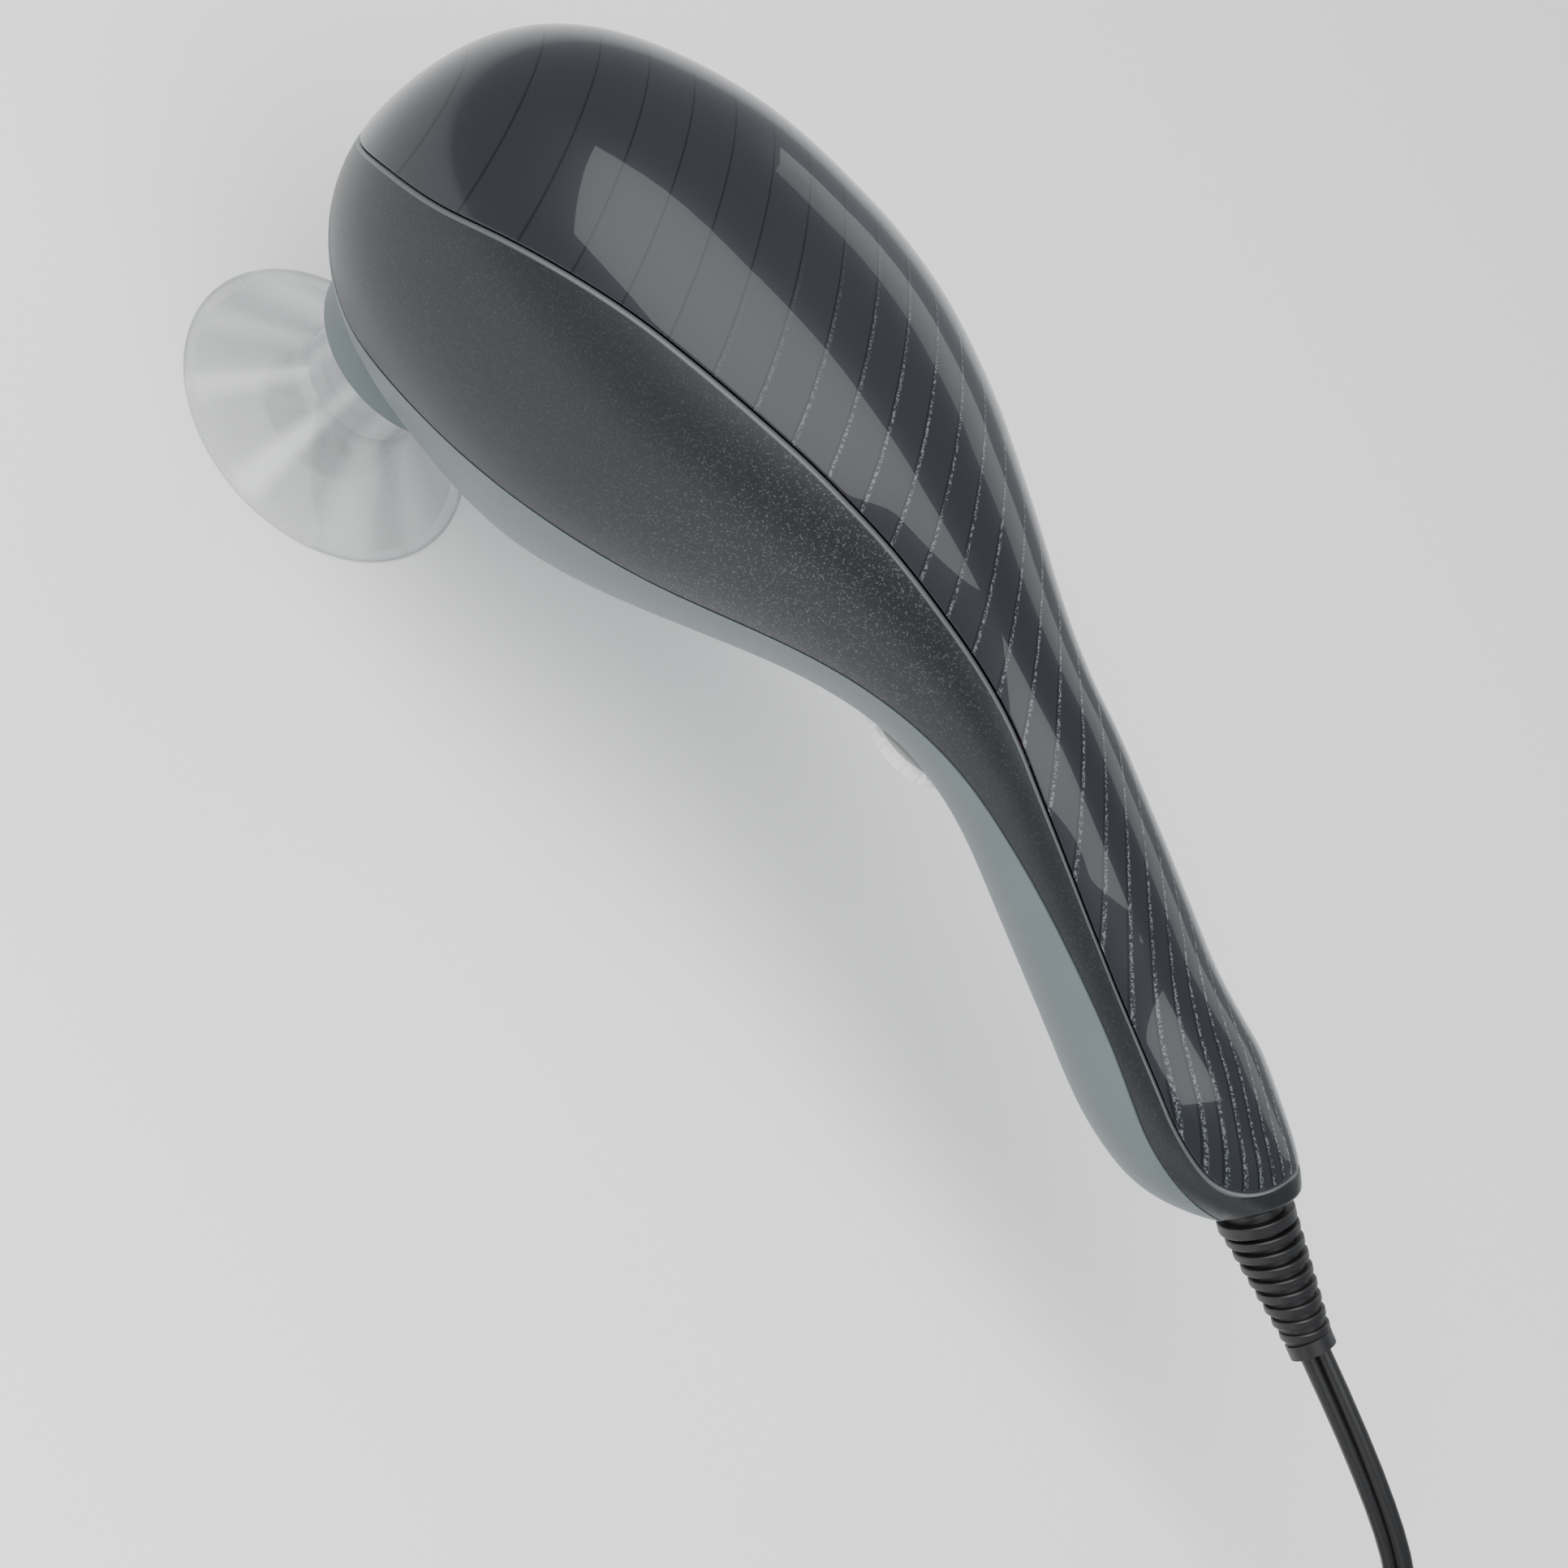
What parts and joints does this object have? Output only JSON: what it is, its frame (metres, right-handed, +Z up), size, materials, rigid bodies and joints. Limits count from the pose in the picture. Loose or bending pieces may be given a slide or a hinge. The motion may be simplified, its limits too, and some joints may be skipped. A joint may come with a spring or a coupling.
{
  "type": "handheld wand massager",
  "caption": "Corded handheld wand massager: a rounded head narrows to a curved handle, with a flat disc attachment, an intensity dial and a mains cord.",
  "frame": {"origin": "centre of the flat disc's face, on the drive axis, on the surface that the massager stands on", "axes": "+Z up the drive axis from the disc to the head, +X along the handle towards the cord, +Y to the left of the handle"},
  "size_m": [0.483, 0.1742, 0.1565],
  "materials": {
    "cover_tint": "glossy",
    "housing_charcoal": "satin, fine metallic fleck",
    "shell_grey": "satin",
    "clear_vinyl": "clear",
    "post_grey": "satin",
    "dial_white": "satin",
    "cord_black": "satin",
    "plug_black": "satin",
    "blade_brass": "polished",
    "steel": "machined",
    "weight_iron": "sintered",
    "hub_metal": "machined",
    "copper": "enamelled wire",
    "carbon": "carbon",
    "frame_plastic": "moulded",
    "rubber": "matt",
    "board_green": "solder mask",
    "component_dark": "moulded",
    "lead_insulation": "satin"
  },
  "bodies": {
    "housing": {"top_cover": "cover_tint", "upper_housing": "housing_charcoal", "lower_shell": "shell_grey", "motor_end_cap": "post_grey", "strain_relief": "cord_black", "cord_inner": "cord_black", "cord_lead": "cord_black", "cord_coil": "cord_black", "cord_tail": "cord_black", "plug_body": "plug_black", "plug_blades": "blade_brass", "housing_screws": "steel", "anti_turn_pins": "steel", "motor_can": "steel", "motor_bearings": "steel", "frame_screws": "steel", "motor_screws": "steel", "board_screws": "steel", "clamp_screws": "steel", "motor_magnets": "weight_iron", "motor_brushes": "carbon", "motor_frame": "frame_plastic", "potentiometer": "frame_plastic", "cord_clamp": "frame_plastic", "collar_seal": "rubber", "vibration_grommets": "rubber", "control_board": "board_green", "board_components": "component_dark", "mains_leads": "lead_insulation", "motor_leads": "lead_insulation"},
    "rotor": {"crank_hub": "hub_metal", "counterweight": "weight_iron", "cooling_fan": "post_grey", "motor_shaft": "steel", "armature_core": "steel", "armature_windings": "copper", "commutator": "blade_brass"},
    "stem": {"output_post": "post_grey", "o_ring": "rubber", "post_screw": "steel", "stem_carrier": "post_grey", "crank_bearing": "steel"},
    "disc": {"disc_cup": "clear_vinyl", "disc_face": "clear_vinyl"},
    "dial": {"dial_knob": "dial_white", "dial_spindle": "dial_white"}
  },
  "joints": [
    {"name": "motor_spin", "type": "hinge", "parent": "housing", "child": "rotor", "pos_m": [0.0015, 0, 0.1], "axis": [0, 0, 1], "continuous": true},
    {"name": "stem_orbit", "type": "hinge", "parent": "rotor", "child": "stem", "pos_m": [0, 0, 0.064], "axis": [0, 0, 1], "continuous": true},
    {"name": "disc_pull_off", "type": "slide", "parent": "stem", "child": "disc", "axis": [0, 0, -1], "range_m": [0, 0.026]},
    {"name": "dial_turn", "type": "hinge", "parent": "housing", "child": "dial", "pos_m": [0.14, 0, 0.0942], "axis": [-0.1392, 0, 0.9903], "range_deg": [0, 300]}
  ],
  "couplings": [
    {"joint": "stem_orbit", "follows": "motor_spin", "ratio": -1}
  ]
}
